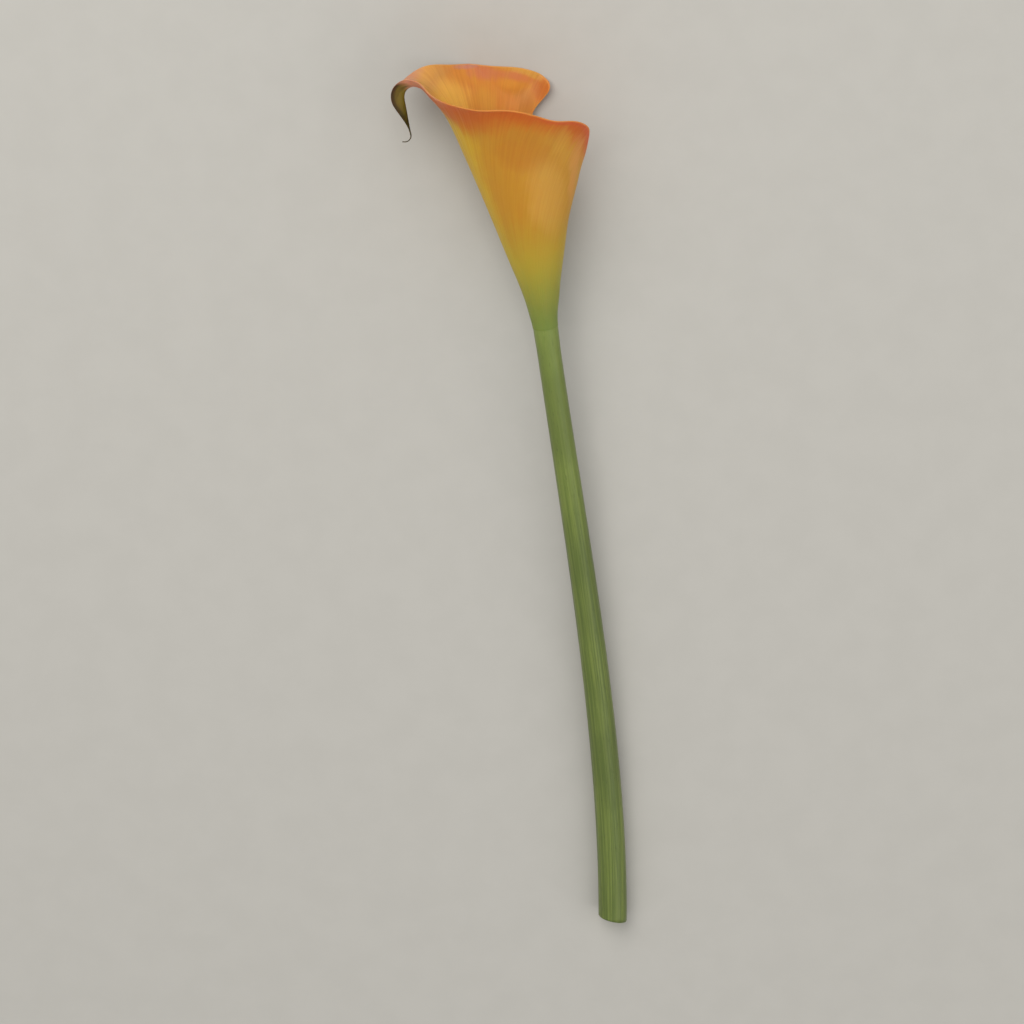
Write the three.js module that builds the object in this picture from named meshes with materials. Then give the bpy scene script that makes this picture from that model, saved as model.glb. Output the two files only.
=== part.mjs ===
// A cut arum lily flower, lying on a flat surface as it would be put down on a table.
// Millimetres, +Z up. The mouth of the flower opens towards +Y, the cut stem runs back along -Y,
// and the green tail of the spathe curls over on the -X side.
//
// The flower has three pieces: the stem, the spadix that stands on the stem's top, and the spathe,
// one leaf that is rolled into a funnel round the spadix.
import * as THREE from 'three';
import { mergeVertices } from 'three/addons/utils/BufferGeometryUtils.js';

// ---------- driving dimensions: the spathe ----------
const WALL = 1.0;               // thickness of the leaf
const BASE_RADIUS = 5.6;        // middle of the wall where the spathe starts on the stem
const FUNNEL_SLOPE = 14.5;      // degrees that the tube opens from the flower's axis
const FUNNEL_START = [-6, 28];  // lengths along the leaf over which that slope comes in
const ROLL_STEP = 0.42;         // growth of the roll's radius for each radian, so that the flaps pass
const ROLL_START = [4, 15];     // lengths over which the roll's spiral comes in
const TUCK = 0.1;               // share of the radius that the inner flap tucks in at its front
const TUCK_ANGLES = [112, 190]; // degrees from the midrib over which it tucks in
const TUCK_START = [35, 105];   // lengths over which it does
const STAND_OFF = 1.5;          // how far the outer flap stands off from the inner one at its front
const STAND_ANGLES = [125, 175];
const STAND_IN = [46, 68];      // lengths over which the flap comes away
const STAND_OUT = [78, 96];     // lengths over which that ends
const TAIL_TURN = 133;          // degrees that the tail turns on past the flare of the lip
const TAIL_BEND = [-2, 14];     // lengths past the rim over which it turns
const HOOK_TURN = -102;         // degrees that the last of the tail hooks back
const HOOK_BEND = [149, 155.5]; // lengths over which it hooks
const CHANNEL = 5.4;            // depth of the tail's channel, where it is deepest
const CHANNEL_IN = [116, 131];  // lengths over which the channel comes in
const CHANNEL_OUT = [130, 149]; // lengths over which it runs out to the tip
const ROW_LIFT = 3;             // power by which the rows of the leaf rise from the midrib to the margins

// The leaf's outline, from its base to its tip. Angles are degrees round the flower's axis from the
// midrib, and lengths run up the leaf from its base.
//  near margin      midrib   far margin
//  angle   length   length   angle   length
const OUTLINE = [
  [176, 0, 0, 178, 0],
  [183, 15, 14, 181, 15],
  [190, 34, 30, 184, 32],
  [188, 54, 46, 172, 50],
  [182, 69, 60, 148, 66],
  [174, 80, 72, 118, 79],
  [165, 91.5, 82, 103, 90.5],
  [146.5, 100.2, 90, 121.5, 102.5],
  [119, 105.6, 97, 113, 108.5],
  [93, 114, 103, 93, 113.6],
  [66, 117.2, 108, 68, 116.4],
  [42, 118.5, 112, 46, 119.5],
  [23, 119.5, 116, 28, 122.9],
  [12, 122, 120.5, 15, 125.6],
  [6, 126.5, 126, 7.5, 129.5],
  [3.9, 132, 132, 4.3, 133],
  [3.3, 137, 137, 3.3, 137],
  [2.4, 143, 143, 2.4, 143],
  [1.3, 147.5, 147.5, 1.3, 147.5],
  [0.7, 151.5, 151.5, 0.7, 151.5],
  [0.4, 155.5, 155.5, 0.4, 155.5],
];

// How the mouth flares round the flower: the angle from the midrib (the near side is positive), the
// length at which the rim lies, the wall's slope there, and the length over which the wall bends to it.
const MOUTH = [
  [-200, 115, 14.5, 30],
  [-160, 112, 14.5, 30],
  [-125, 106, 20, 30],
  [-92, 112.5, 31, 28],
  [-62, 116.5, 31, 28],
  [-30, 120, 40, 30],
  [-13, 118.6, 48, 30],
  [0, 121.5, 51, 30],
  [14, 121, 46, 30],
  [30, 119, 40.5, 30],
  [60, 116, 37, 30],
  [90, 114.5, 36, 30],
  [130, 106, 34, 32],
  [165, 92, 34, 38],
  [200, 84, 32, 34],
];

// ---------- driving dimensions: the spadix ----------
const SPADIX_FOOT = 4.3;        // height of its foot above the spathe's base
const SPADIX_LENGTH = 46;
const SPADIX_RADIUS = 3.5;
const SPADIX_TAPER = 0.14;      // share of the radius lost on the way up
const SPADIX_DRAWN = 0.2;       // share of the radius by which its foot is drawn in
const DRAWN_PART = [0, 0.1];    // shares of its length over which the foot fills out
const DOME_START = 0.84;        // share of its length where the rounded top starts
const DOME_CLOSED = 0.994;      // how nearly the rounded top closes
const FLORETS_ROUND = 10;       // florets in each ring
const FLORET_PITCH = 3.8;       // length of two staggered rings
const FLORET_RISE = 0.3;
const FLORETS_IN = [0.02, 0.12]; // shares of the length over which the florets come in

// ---------- driving dimensions: the stem ----------
const STEM_LENGTH = 282;        // from the spathe's base to the cut, along Y
const STEM_DRIFT = 31;          // how far the cut end lies to +X of the spathe's base
const STEM_BEND = [80, 90];     // how far the head's line and the cut end's line hold on along the stem
const STEM_SHOULDER = 6.0;      // radius where the spathe's base sits on it
const STEM_NECK = 5.3;          // radius at its slimmest, a little below
const NECK_PART = [0, 0.14];    // shares of the length over which the shoulder draws in to the neck
const SPREAD_PART = [0.05, 1];  // shares over which the neck widens to the cut
const STEM_CUT = 6.6;           // radius at the cut end
const STEM_PEG = 4.75;          // radius of the part inside the spathe's base
const STEM_PEG_TOP = 4.0;       // its height above the spathe's base
const CUT_SLANT = 0.22;         // rise of the cut across the stem
const GAP = 0.3;                // clearance where two pieces touch

// ---------- driving dimensions: how it lies ----------
const LEAN = 7.5;               // degrees that the head leans from the stem's line, to -X
const PITCH = 4.0;              // degrees that the head rises from the surface
const HEAD_HEIGHT = 21.6;       // height of the spathe's base above the surface
const PRESS_SOFT = 0.6;         // height over which the rim bends flat where it lies on the surface
const CENTRE = [-14.6, -84.5];  // middle of the whole flower's box, seen from above

// ---------- steps of the meshes ----------
const LEAF_ACROSS = 28;
const LEAF_ALONG = 66;
const SLOPE_STEPS = 64;
const SPADIX_ROUND = 40;
const SPADIX_ALONG = 48;
const STEM_ROUND = 16;
const STEM_ALONG = 36;

const radians = THREE.MathUtils.degToRad;

// A ramp from 0 to 1 between two ends, level at both.
function ramp(ends, x) {
  return THREE.MathUtils.smoothstep(x, ends[0], ends[1]);
}

// The row of a table at t from 0 to 1, on a smooth curve through its rows.
function rowAt(table, t) {
  const last = table.length - 1;
  const place = THREE.MathUtils.clamp(t, 0, 1) * last;
  const i = Math.min(Math.floor(place), last - 1);
  const f = place - i;
  const before = table[Math.max(i - 1, 0)];
  const after = table[Math.min(i + 2, last)];
  return table[i].map((a, k) => {
    const b = table[i + 1][k];
    const turn = 2 * before[k] - 5 * a + 4 * b - after[k];
    const twist = 3 * a - before[k] - 3 * b + after[k];
    return 0.5 * (2 * a + (b - before[k]) * f + turn * f ** 2 + twist * f ** 3);
  });
}

// The mouth's rim length, slope and bend at an angle, on a smooth curve through the rows of MOUTH.
function mouthAt(angle) {
  const last = MOUTH.length - 1;
  const found = MOUTH.findIndex((row) => row[0] > angle);
  const i = found < 0 ? last - 1 : Math.max(found - 1, 0);
  const span = MOUTH[i + 1][0] - MOUTH[i][0];
  const f = THREE.MathUtils.clamp((angle - MOUTH[i][0]) / span, 0, 1);
  const steep = (j, k) => (MOUTH[j + 1][k] - MOUTH[j][k]) / (MOUTH[j + 1][0] - MOUTH[j][0]);
  const turn = (j, k) => (j === 0 || j === last ? 0 : (steep(j - 1, k) + steep(j, k)) / 2);
  return [1, 2, 3].map((k) => {
    const rise = MOUTH[i + 1][k] - MOUTH[i][k];
    const even = MOUTH[i][k] + rise * (3 * f ** 2 - 2 * f ** 3);
    return even + span * (turn(i, k) * (f ** 3 - 2 * f ** 2 + f) + turn(i + 1, k) * (f ** 3 - f ** 2));
  });
}

// The wall's slope from the axis, in radians, at a length up the leaf.
function slopeAt([rim, flare, bend], length) {
  const funnel = FUNNEL_SLOPE * ramp(FUNNEL_START, length);
  const lip = (flare - FUNNEL_SLOPE) * THREE.MathUtils.clamp((length - rim + bend) / bend, 0, 1) ** 2;
  const tail = TAIL_TURN * ramp(TAIL_BEND, length - rim);
  return radians(funnel + lip + tail + HOOK_TURN * ramp(HOOK_BEND, length));
}

// A point on the middle of the leaf, in the upright flower: z runs up its axis from the spathe's base.
// across runs from -1 at the far margin to 1 at the near one, and along from 0 at the base to the tip.
function leafPoint(across, along) {
  const [nearAngle, nearLength, midrib, farAngle, farLength] = rowAt(OUTLINE, along);
  const side = Math.abs(across);
  const angle = across > 0 ? nearAngle * side : -farAngle * side;
  const margin = across > 0 ? nearLength : farLength;
  const length = midrib + (margin - midrib) * side ** ROW_LIFT;
  const mouth = mouthAt(angle);
  let radius = BASE_RADIUS;
  let height = 0;
  for (let i = 0; i < SLOPE_STEPS; i += 1) {
    const slope = slopeAt(mouth, length * (i + 0.5) / SLOPE_STEPS);
    radius += Math.sin(slope) * length / SLOPE_STEPS;
    height += Math.cos(slope) * length / SLOPE_STEPS;
  }
  radius += ROLL_STEP * radians(angle) * ramp(ROLL_START, length);
  const stand = ramp(STAND_IN, length) * (1 - ramp(STAND_OUT, length));
  radius += STAND_OFF * ramp(STAND_ANGLES, angle) * stand;
  radius *= 1 - TUCK * ramp(TUCK_ANGLES, -angle) * ramp(TUCK_START, length);
  const slope = slopeAt(mouth, length);
  const channel = CHANNEL * ramp(CHANNEL_IN, length) * (1 - ramp(CHANNEL_OUT, length)) * across ** 2;
  radius -= channel * Math.cos(slope);
  height += channel * Math.sin(slope);
  const turn = radians(angle);
  return new THREE.Vector3(-radius * Math.cos(turn), -radius * Math.sin(turn), height);
}

// Bends a height up to the level of the surface that the flower lies on, with a soft start.
function pressed(height, level) {
  const over = height - level;
  if (over > PRESS_SOFT) return height;
  if (over < -PRESS_SOFT) return level;
  return level + (over + PRESS_SOFT) ** 2 / (4 * PRESS_SOFT);
}

// A closed BufferGeometry from a list of points and a list of triangles.
function solid(points, triangles) {
  const geometry = new THREE.BufferGeometry();
  const numbers = points.flatMap((point) => point.toArray());
  geometry.setAttribute('position', new THREE.Float32BufferAttribute(numbers, 3));
  geometry.setIndex(triangles);
  const merged = mergeVertices(geometry, 1e-4);
  merged.computeVertexNormals();
  return merged;
}

// Two triangles for the four corners a, b, c, d of a facet, in order round it.
function facet(a, b, c, d) {
  return [a, b, c, a, c, d];
}

// The spathe: the leaf's middle surface, pressed flat where it touches, with a wall to each side of it.
function spathe(place) {
  const middle = [];
  for (let j = 0; j <= LEAF_ALONG; j += 1) {
    for (let i = 0; i <= LEAF_ACROSS; i += 1) {
      const point = leafPoint(2 * i / LEAF_ACROSS - 1, j / LEAF_ALONG).applyMatrix4(place);
      point.z = pressed(point.z, WALL / 2);
      middle.push(point);
    }
  }
  const width = LEAF_ACROSS + 1;
  const count = middle.length;
  const at = (i, j) => j * width + i;
  const clamp = THREE.MathUtils.clamp;
  const nearest = (i, j) => middle[at(clamp(i, 0, LEAF_ACROSS), clamp(j, 0, LEAF_ALONG))];
  const inner = [];
  const outer = [];
  for (let j = 0; j <= LEAF_ALONG; j += 1) {
    for (let i = 0; i <= LEAF_ACROSS; i += 1) {
      const acrossWay = nearest(i + 1, j).clone().sub(nearest(i - 1, j));
      const alongWay = nearest(i, j + 1).clone().sub(nearest(i, j - 1));
      const out = acrossWay.cross(alongWay).setLength(WALL / 2);
      outer.push(middle[at(i, j)].clone().add(out));
      inner.push(middle[at(i, j)].clone().sub(out));
    }
  }
  const triangles = [];
  for (let j = 0; j < LEAF_ALONG; j += 1) {
    for (let i = 0; i < LEAF_ACROSS; i += 1) {
      const corners = [at(i, j), at(i + 1, j), at(i + 1, j + 1), at(i, j + 1)];
      const [a, b, c, d] = corners.map((k) => k + count);
      triangles.push(...facet(...corners), a, c, b, a, d, c);
    }
  }
  const edge = [];
  for (let i = 0; i < LEAF_ACROSS; i += 1) edge.push(at(i, 0));
  for (let j = 0; j < LEAF_ALONG; j += 1) edge.push(at(LEAF_ACROSS, j));
  for (let i = LEAF_ACROSS; i > 0; i -= 1) edge.push(at(i, LEAF_ALONG));
  for (let j = LEAF_ALONG; j > 0; j -= 1) edge.push(at(0, j));
  edge.forEach((a, k) => {
    const b = edge[(k + 1) % edge.length];
    triangles.push(...facet(a, a + count, b + count, b));
  });
  return solid([...outer, ...inner], triangles);
}

// A closed body through a list of rings of points, each ring anticlockwise seen from the body's end.
function loft(rings) {
  const round = rings[0].length;
  const points = rings.flat();
  const triangles = [];
  for (let j = 0; j + 1 < rings.length; j += 1) {
    for (let i = 0; i < round; i += 1) {
      const next = (i + 1) % round;
      const low = j * round;
      const high = low + round;
      triangles.push(...facet(low + i, low + next, high + next, high + i));
    }
  }
  const middle = (ring) => ring.reduce((sum, p) => sum.add(p), new THREE.Vector3()).divideScalar(round);
  const foot = points.push(middle(rings[0])) - 1;
  const tip = points.push(middle(rings[rings.length - 1])) - 1;
  for (let i = 0; i < round; i += 1) {
    const next = (i + 1) % round;
    const top = (rings.length - 1) * round;
    triangles.push(foot, next, i, tip, top + i, top + next);
  }
  return solid(points, triangles);
}

// The spadix, upright: a slim rod with a rounded top, its florets raised as staggered knobs.
function spadix() {
  const rings = [];
  for (let j = 0; j <= SPADIX_ALONG; j += 1) {
    const part = j / SPADIX_ALONG;
    const height = SPADIX_LENGTH * part;
    const over = Math.max(part - DOME_START, 0) / (1 - DOME_START);
    const dome = Math.sqrt(1 - DOME_CLOSED * over ** 2);
    const drawn = 1 - SPADIX_DRAWN * (1 - ramp(DRAWN_PART, part));
    const body = SPADIX_RADIUS * dome * drawn * (1 - SPADIX_TAPER * part);
    const rise = FLORET_RISE * dome * ramp(FLORETS_IN, part);
    const ring = [];
    for (let i = 0; i < SPADIX_ROUND; i += 1) {
      const turn = 2 * Math.PI * i / SPADIX_ROUND;
      const knob = Math.cos(FLORETS_ROUND * turn) * Math.cos(2 * Math.PI * height / FLORET_PITCH);
      const radius = body + rise * knob;
      ring.push(new THREE.Vector3(radius * Math.cos(turn), radius * Math.sin(turn), height));
    }
    rings.push(ring);
  }
  return loft(rings);
}

// One ring of the stem: round the point at its middle, square to its direction, a facet underneath.
function stemRing(centre, direction, radius, slant = 0) {
  const side = new THREE.Vector3().crossVectors(direction, new THREE.Vector3(0, 0, 1)).normalize();
  const up = new THREE.Vector3().crossVectors(side, direction);
  const ring = [];
  for (let i = 0; i < STEM_ROUND; i += 1) {
    const turn = 2 * Math.PI * (i + 0.5) / STEM_ROUND;
    const point = centre.clone().addScaledVector(side, -radius * Math.sin(turn));
    point.addScaledVector(up, -radius * Math.cos(turn));
    ring.push(point.addScaledVector(direction, slant * radius * Math.sin(turn)));
  }
  return ring;
}

// The stem: a peg inside the spathe's base, a shoulder under it, and a long gentle curve to the cut.
function stem(place) {
  const axis = new THREE.Vector3(0, 0, -1).transformDirection(place);
  const top = new THREE.Vector3().setFromMatrixPosition(place);
  const cutHeight = STEM_CUT * Math.cos(Math.PI / STEM_ROUND);
  const cut = new THREE.Vector3(top.x + STEM_DRIFT, top.y - STEM_LENGTH, cutHeight);
  const bend = top.clone().addScaledVector(axis, STEM_BEND[0]);
  const straight = cut.clone().add(new THREE.Vector3(0, STEM_BEND[1], 0));
  const shoulder = top.clone().addScaledVector(axis, GAP);
  const line = new THREE.CubicBezierCurve3(shoulder, bend, straight, cut);
  const rings = [
    stemRing(top.clone().addScaledVector(axis, -STEM_PEG_TOP), axis, STEM_PEG),
    stemRing(shoulder, axis, STEM_PEG),
  ];
  for (let j = 0; j <= STEM_ALONG; j += 1) {
    const part = j / STEM_ALONG;
    const neck = STEM_NECK + (STEM_SHOULDER - STEM_NECK) * (1 - ramp(NECK_PART, part));
    const radius = neck + (STEM_CUT - STEM_NECK) * ramp(SPREAD_PART, part);
    const slant = j === STEM_ALONG ? CUT_SLANT : 0;
    rings.push(stemRing(line.getPoint(part), line.getTangent(part), radius, slant));
  }
  return loft(rings);
}

// The matrix that lays the upright flower down: its axis along +Y, its near side up, its tail at -X.
function headPlace() {
  const lie = new THREE.Matrix4().makeRotationX(radians(PITCH - 90));
  const lean = new THREE.Matrix4().makeRotationZ(radians(LEAN));
  const lift = new THREE.Matrix4().makeTranslation(-CENTRE[0], -CENTRE[1], HEAD_HEIGHT);
  return lift.multiply(lean).multiply(lie);
}

function material(color, roughness) {
  return new THREE.MeshStandardMaterial({ color, roughness, metalness: 0 });
}

const group = new THREE.Group();
const place = headPlace();

const spatheMesh = new THREE.Mesh(spathe(place), material('#d98536', 0.5));
spatheMesh.name = 'spathe';
group.add(spatheMesh);

const stemMesh = new THREE.Mesh(stem(place), material('#6f8a3c', 0.45));
stemMesh.name = 'stem';
group.add(stemMesh);

const head = new THREE.Group();
head.applyMatrix4(place);
const spadixMesh = new THREE.Mesh(spadix(), material('#e0a63a', 0.7));
spadixMesh.name = 'spadix';
spadixMesh.position.z = SPADIX_FOOT;
head.add(spadixMesh);
group.add(head);

export default group;
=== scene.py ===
# %% [markdown]
# # A cut arum lily, lying down
#
# The flower has three pieces: a long smooth stem, a slim yellow spadix that stands on the stem's top, and
# the spathe, one orange leaf rolled into a funnel round the spadix, with a green tail that curls over.
# All three are surfaces worked out with numpy. A surface is a function of two parameters, and a grid of
# parameter values gives a grid of points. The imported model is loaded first, and it fixes the frame: +Z is
# up from the surface that the flower lies on, the mouth faces +Y, and the tail is on the -X side.

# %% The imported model
import math
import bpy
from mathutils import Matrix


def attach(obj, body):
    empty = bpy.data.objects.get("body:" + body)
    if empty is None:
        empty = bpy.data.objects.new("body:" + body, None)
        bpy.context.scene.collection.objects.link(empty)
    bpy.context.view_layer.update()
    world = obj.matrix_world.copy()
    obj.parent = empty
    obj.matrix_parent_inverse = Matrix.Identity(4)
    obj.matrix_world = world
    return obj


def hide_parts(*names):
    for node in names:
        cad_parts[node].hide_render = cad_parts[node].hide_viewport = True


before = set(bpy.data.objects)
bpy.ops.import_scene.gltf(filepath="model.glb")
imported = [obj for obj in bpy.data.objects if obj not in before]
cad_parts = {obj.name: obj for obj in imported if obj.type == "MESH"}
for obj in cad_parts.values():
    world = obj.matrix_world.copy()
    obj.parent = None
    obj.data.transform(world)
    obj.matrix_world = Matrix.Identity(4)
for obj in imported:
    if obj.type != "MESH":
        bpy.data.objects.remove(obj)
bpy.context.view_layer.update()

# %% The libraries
from types import SimpleNamespace

import bpy
import numpy as np
from mathutils import Matrix, Vector

# %% [markdown]
# ## Two curves that everything uses
#
# Petals have no corners and no sudden starts. Every change in them, such as the funnel opening or the
# colour turning, comes in over some length. The ramp below does that: it is level at both of its ends. The
# outline of the leaf is a short table of measured rows, and a smooth curve through the rows gives the rest,
# so that a row can be changed without bending anything far from it.

# %% The ramp and the curve through the rows of a table
MM = 0.001


def ramp(ends, x):
    """0 before the first end and 1 after the second: 3t^2 - 2t^3, where t runs from 0 to 1 between them."""
    t = np.clip((x - ends[0]) / (ends[1] - ends[0]), 0, 1)
    return t * t * (3 - 2 * t)


def rows_at(table, t):
    """The rows of a table at t from 0 to 1, on the Catmull-Rom curve through them, of which each piece is
    half of 2a + (b - before) f + (2 before - 5a + 4b - after) f^2 + (3a - before - 3b + after) f^3."""
    last = len(table) - 1
    place = np.clip(t, 0, 1) * last
    i = np.minimum(place.astype(int), last - 1)
    f = (place - i)[..., None]
    before, a = table[np.maximum(i - 1, 0)], table[i]
    b, after = table[i + 1], table[np.minimum(i + 2, last)]
    turn = 2 * before - 5 * a + 4 * b - after
    twist = 3 * a - before - 3 * b + after
    return 0.5 * (2 * a + (b - before) * f + turn * f**2 + twist * f**3)


print("ramp at its middle:", ramp((0, 2), 1.0))

# %% [markdown]
# ## The spathe's outline
#
# Unrolled, the spathe is one leaf shaped like a spade, with a long narrow tip. Each row below is a line
# across that leaf: the angle round the flower's axis where its two margins are, counted from the midrib,
# and how far up the leaf the row lies at the near margin, at the midrib and at the far margin. Near the
# base the row goes right round, so the margins overlap. Near the tip it is only a few degrees wide: that is
# the tail.

# %% The leaf from base to tip: near angle, near length, midrib length, far angle, far length
OUTLINE = np.array([
    [176, 0, 0, 178, 0],
    [183, 15, 14, 181, 15],
    [190, 34, 30, 184, 32],
    [188, 54, 46, 172, 50],
    [182, 69, 60, 148, 66],
    [174, 80, 72, 118, 79],
    [165, 91.5, 82, 103, 90.5],
    [146.5, 100.2, 90, 121.5, 102.5],
    [119, 105.6, 97, 113, 108.5],
    [93, 114, 103, 93, 113.6],
    [66, 117.2, 108, 68, 116.4],
    [42, 118.5, 112, 46, 119.5],
    [23, 119.5, 116, 28, 122.9],
    [12, 122, 120.5, 15, 126],
    [6, 126.5, 126, 7.5, 129.5],
    [3.9, 132, 132, 4.3, 133],
    [3.3, 137, 137, 3.3, 137],
    [2.4, 143, 143, 2.4, 143],
    [1.3, 147.5, 147.5, 1.3, 147.5],
    [0.7, 151.5, 151.5, 0.7, 151.5],
    [0.4, 155.5, 155.5, 0.4, 155.5],
], float)
print("length of the leaf to the tip of its tail:", OUTLINE[-1, 2], "mm")

# %% [markdown]
# ## How the mouth flares
#
# The funnel opens steadily from the stem, and then its lip rolls outwards, most of all at the back, where
# the tail starts. The rows below say for some angles round the flower where the lip's rim lies, how far
# the wall leans out there, and over what length it bends to that. The slope of the wall at a length is the
# sum of the funnel's, the lip's and the tail's, and adding up its sine and cosine along the leaf gives
# how far out and how high each point lies.

# %% Angle from the midrib, rim length, slope in degrees, length of the bend
MOUTH = np.array([
    [-200, 115, 14.5, 30],
    [-160, 112, 14.5, 30],
    [-125, 106, 20, 30],
    [-92, 112.5, 31, 28],
    [-62, 116.5, 31, 28],
    [-30, 120, 40, 30],
    [-13, 118.6, 48, 30],
    [0, 121.5, 51, 30],
    [14, 121, 46, 30],
    [30, 119, 40.5, 30],
    [60, 116, 37, 30],
    [90, 114.5, 36, 30],
    [130, 106, 34, 32],
    [165, 92, 34, 38],
    [200, 84, 32, 34],
], float)
FUNNEL_SLOPE, FUNNEL_START = 14.5, (-6, 28)
TAIL_TURN, TAIL_BEND = 133, (-2, 14)
HOOK_TURN, HOOK_BEND = -102, (149, 155.5)


def mouth_at(angle):
    """Rim length, slope and bend at an angle: a cubic between two rows of MOUTH, whose steepness at a row
    is the mean of the two straight lines that meet there, and none at the first and last."""
    at, values = MOUTH[:, 0], MOUTH[:, 1:]
    steep = np.diff(values, axis=0) / np.diff(at)[:, None]
    turn = np.zeros_like(values)
    turn[1:-1] = (steep[1:] + steep[:-1]) / 2
    i = np.clip(np.searchsorted(at, angle, side="right") - 1, 0, len(at) - 2)
    span = (at[i + 1] - at[i])[..., None]
    f = np.clip((angle - at[i])[..., None] / span, 0, 1)
    straight = values[i] * (2 * f**3 - 3 * f**2 + 1) + values[i + 1] * (3 * f**2 - 2 * f**3)
    bent = turn[i] * (f**3 - 2 * f**2 + f) + turn[i + 1] * (f**3 - f**2)
    return np.moveaxis(straight + span * bent, -1, 0)


def slope_at(mouth, length):
    """The wall's slope from the axis in radians: funnel + (flare - funnel) s^2 + tail + hook, where s runs
    from 0 to 1 over the bend that ends at the rim."""
    rim, flare, bend = mouth
    funnel = FUNNEL_SLOPE * ramp(FUNNEL_START, length)
    lip = (flare - FUNNEL_SLOPE) * np.clip((length - rim + bend) / bend, 0, 1) ** 2
    tail = TAIL_TURN * ramp(TAIL_BEND, length - rim)
    return np.radians(funnel + lip + tail + HOOK_TURN * ramp(HOOK_BEND, length))


back = mouth_at(np.zeros(1))
print("slope at the back of the lip:", np.degrees(slope_at(back, back[0])).round(1), "degrees")

# %% [markdown]
# ## The middle of the leaf
#
# Each point of the leaf has an angle round the axis and a length up the leaf. The rolled leaf isn't a true
# cone: its radius grows a little with the angle, so that one flap passes outside the other, and the flap
# inside tucks in. The tail is folded along its midrib like a channel. A real leaf is never quite even, so
# its lip also swells and dips by a few tenths of a millimetre.

# %% Points on the middle of the leaf, in the upright flower
BASE_RADIUS = 5.6
BASE_SQUEEZE, SQUEEZE_END = 0.12, (0, 9)    # how much closer the leaf clasps the stem, and over what length
ROLL_LOW, ROLL_HIGH = 0.3, 0.42             # growth of the radius for each radian, low down and at the lip
ROLL_START, ROLL_OPEN = (4, 15), (30, 85)
TUCK, TUCK_ANGLES, TUCK_START = 0.1, (112, 190), (35, 105)
STAND_OFF, STAND_ANGLES = 1.5, (125, 175)   # how far the outer flap stands off at its front
STAND_IN, STAND_OUT = (46, 68), (78, 96)
CHANNEL, CHANNEL_IN, CHANNEL_OUT = 5.4, (116, 131), (130, 149)
SLOPE_STEPS = 64
SWELL = 0.55                                # of the lip, in mm
LIP_SWELLS, LIP_ENDS = (-34, -2), (4, 18)   # lengths past the rim over which the swell comes and goes
TUBE_SWELLS, TUBE_ENDS = (12, 40), (90, 110)
LIP_WAVES = [                               # share, waves to the turn, start, and shift with each mm up
    (0.5, 3.1, 0.6, 0),
    (0.35, 7.3, 2, 1 / 30),
    (0.15, 12.4, 0, -1 / 17),
]
TUBE_WAVES = [(0.35, 2.2, 0, 1 / 14)]


def waves(table, angle, length):
    """The sum of share x sin(count x angle + start + shift x length) over the rows of a table."""
    turn = np.radians(angle)
    return sum(share * np.sin(count * turn + start + shift * length) for share, count, start, shift in table)


def swell_of(angle, length, rim):
    """How far the leaf stands out of its even shape: three waves round the lip and a slow one round the
    tube, all of which fade out towards the base and the tail."""
    lip = ramp(LIP_SWELLS, length - rim) * (1 - ramp(LIP_ENDS, length - rim))
    tube = ramp(TUBE_SWELLS, length) * (1 - ramp(TUBE_ENDS, length))
    return SWELL * (lip * waves(LIP_WAVES, angle, length) + tube * waves(TUBE_WAVES, angle, length))


def leaf(across, along):
    """Points, angles, lengths and rims. across runs from -1 at the far margin to 1 at the near one, and
    along from base to tip. length = midrib + (margin - midrib) |across|^3, radius = base + the sum of
    sin(slope) + roll x angle, height = the sum of cos(slope), point = (-r cos a, -r sin a, height)."""
    near_angle, near_length, midrib, far_angle, far_length = np.moveaxis(rows_at(OUTLINE, along), -1, 0)
    side = np.abs(across)
    angle = np.where(across > 0, near_angle, -far_angle) * side
    length = midrib + (np.where(across > 0, near_length, far_length) - midrib) * side**3
    mouth = mouth_at(angle)
    radius = BASE_RADIUS - BASE_SQUEEZE * (1 - ramp(SQUEEZE_END, length))
    height = np.zeros_like(length)
    for step in range(SLOPE_STEPS):
        slope = slope_at(mouth, length * (step + 0.5) / SLOPE_STEPS)
        radius = radius + np.sin(slope) * length / SLOPE_STEPS
        height = height + np.cos(slope) * length / SLOPE_STEPS
    roll = ROLL_LOW + (ROLL_HIGH - ROLL_LOW) * ramp(ROLL_OPEN, length)
    radius = radius + roll * np.radians(angle) * ramp(ROLL_START, length)
    stand = ramp(STAND_IN, length) * (1 - ramp(STAND_OUT, length))
    radius = radius + STAND_OFF * ramp(STAND_ANGLES, angle) * stand
    radius = radius * (1 - TUCK * ramp(TUCK_ANGLES, -angle) * ramp(TUCK_START, length))
    slope = slope_at(mouth, length)
    fold = CHANNEL * ramp(CHANNEL_IN, length) * (1 - ramp(CHANNEL_OUT, length)) * across**2
    out = swell_of(angle, length, mouth[0]) - fold
    radius, height = radius + out * np.cos(slope), height - out * np.sin(slope)
    turn = np.radians(angle)
    points = np.stack([-radius * np.cos(turn), -radius * np.sin(turn), height], -1)
    return points, angle, length, mouth[0]


# %% [markdown]
# ## Laying the flower down
#
# The head is worked out upright, and one turn and one move lay it on the surface: its axis goes along +Y,
# raised a few degrees, and leans a little towards the tail. Where the lip would pass through the surface,
# it is bent flat onto it with a soft start, as a fresh petal gives under the flower's own weight.

# %% The head's place, and the press of the surface
LEAN, PITCH = math.radians(7.5), math.radians(4.0)
HEAD = np.array([14.6, 84.5, 21.6])
PRESS_SOFT = 0.6
UPRIGHT_TO_LYING = np.array([
    [math.cos(LEAN), -math.sin(LEAN) * math.sin(PITCH), -math.sin(LEAN) * math.cos(PITCH)],
    [math.sin(LEAN), math.cos(LEAN) * math.sin(PITCH), math.cos(LEAN) * math.cos(PITCH)],
    [0, -math.cos(PITCH), math.sin(PITCH)],
])


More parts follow.
